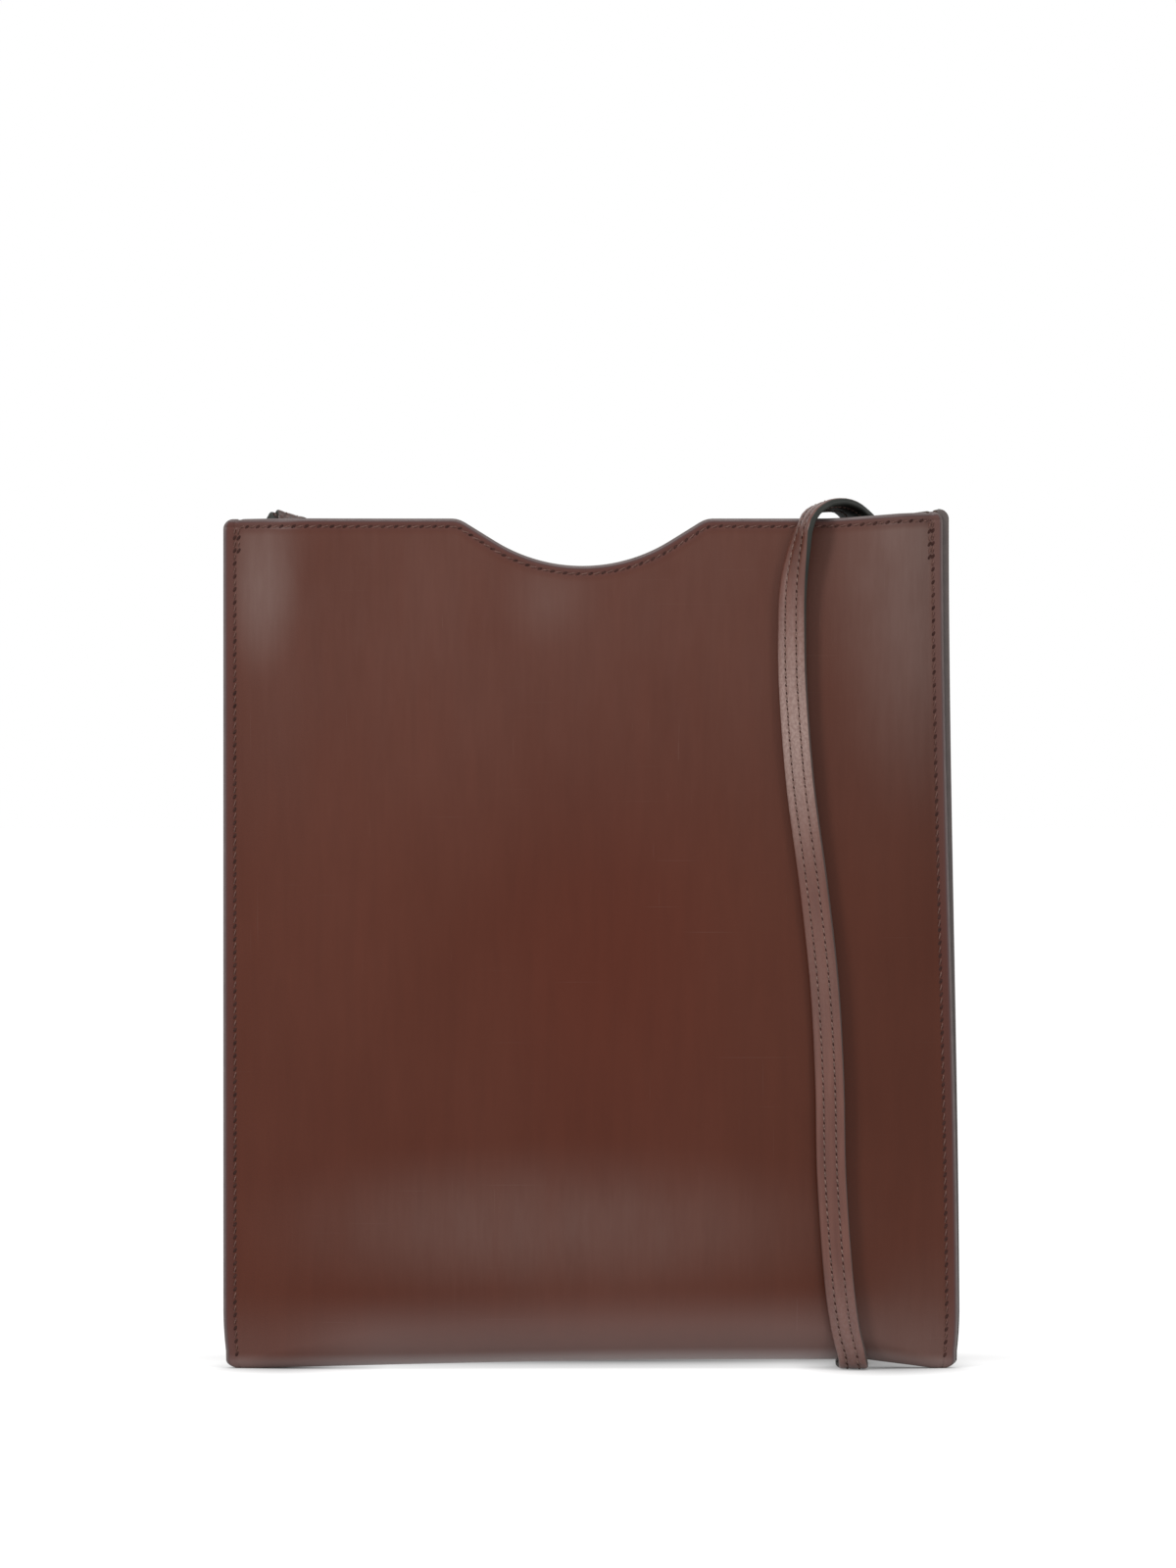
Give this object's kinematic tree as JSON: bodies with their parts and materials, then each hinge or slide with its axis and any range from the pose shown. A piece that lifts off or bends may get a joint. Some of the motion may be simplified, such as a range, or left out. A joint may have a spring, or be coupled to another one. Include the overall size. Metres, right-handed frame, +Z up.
{
  "type": "crossbody purse",
  "caption": "Slim upright crossbody purse of folded leather with a notched open top, stitched side seams and a long flat strap knotted behind two holes.",
  "frame": {"origin": "on the ground under the middle of the purse, between its two bottom corners", "axes": "+Z up, the front panel faces -Y, +X to the right as seen from the front"},
  "size_m": [0.2168, 0.1061, 0.2563],
  "materials": {
    "outer_leather": "smooth brown leather, lightly waxed, satin sheen",
    "lining_leather": "thin dark brown lining leather, matt",
    "strap_leather": "smooth brown strap leather with a dark grey backing and edge",
    "tie_lace": "thin dark lace",
    "thread": "waxed dark red-brown thread",
    "edge_paint": "rounded edge, sealed with grey-brown edge paint"
  },
  "bodies": {
    "root": {"outer_leather": "outer_leather", "lining": "lining_leather", "left_knot": "strap_leather", "right_knot": "strap_leather", "strap_front_run": "strap_leather", "strap_coil": "strap_leather", "strap_back_run": "strap_leather", "strap_tie": "tie_lace"}
  },
  "joints": []
}
